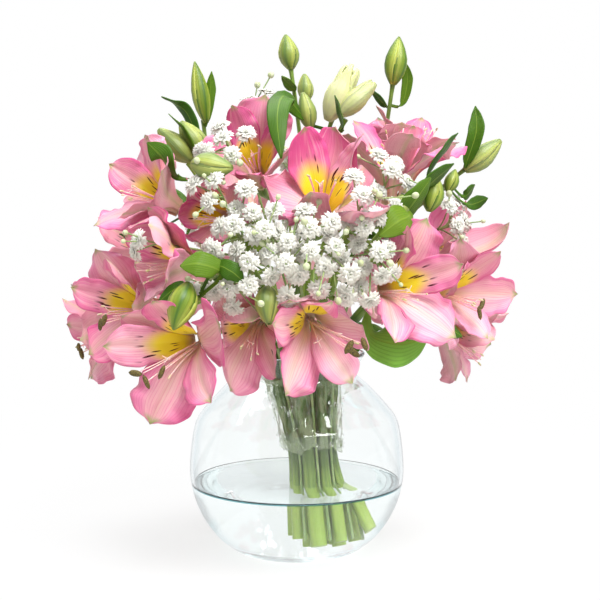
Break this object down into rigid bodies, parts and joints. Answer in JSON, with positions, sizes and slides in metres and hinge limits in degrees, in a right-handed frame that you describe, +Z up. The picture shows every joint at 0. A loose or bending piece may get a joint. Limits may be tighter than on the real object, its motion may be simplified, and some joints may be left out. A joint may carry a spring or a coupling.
{
  "type": "alstroemeria bouquet in a round glass vase",
  "caption": "Bouquet of open pink alstroemeria and white gypsophila with green buds and leaves, its stems wrapped in clear film and standing in water in a round glass vase.",
  "frame": {"origin": "centre of the flat underside of the vase's base", "axes": "+Z up along the vase's axis, -Y towards the front of the bouquet, +X to its right seen from the front"},
  "size_m": [0.2342, 0.216, 0.274],
  "materials": {
    "glass": "clear polished glass",
    "water": "clear still water",
    "film": "clear crinkled film",
    "green": "satin living leaf and stem",
    "petal": "soft matt petal",
    "floret": "soft matt petal"
  },
  "bodies": {
    "root": {"vase": "glass", "water": "water", "stem_film": "film", "leafy_stem_01": "green", "leafy_stem_02": "green", "leafy_stem_03": "green", "leafy_stem_04": "green", "leafy_stem_05": "green", "leafy_stem_06": "green", "leafy_stem_07": "green", "leafy_stem_08": "green", "leafy_stem_09": "green", "leafy_stem_10": "green", "leafy_stem_11": "green", "leafy_stem_12": "green", "gypsophila_spray_a": "floret", "gypsophila_spray_b": "floret", "gypsophila_spray_c": "floret", "gypsophila_spray_d": "floret", "gypsophila_spray_e": "floret", "gypsophila_spray_f": "floret", "bloom_01": "petal", "bloom_02": "petal", "bloom_03": "petal", "bloom_04": "petal", "bloom_05": "petal", "bloom_06": "petal", "bloom_07": "petal", "bloom_08": "petal", "bloom_09": "petal", "bloom_10": "petal", "bloom_11": "petal", "bloom_12": "petal", "bloom_13": "petal", "bloom_14": "petal", "bloom_15": "petal", "bloom_16": "petal", "bloom_17": "petal", "bloom_18": "petal", "bloom_19": "petal", "bloom_20": "petal", "bloom_21": "petal", "bloom_22": "petal", "bloom_23": "petal"}
  },
  "joints": []
}
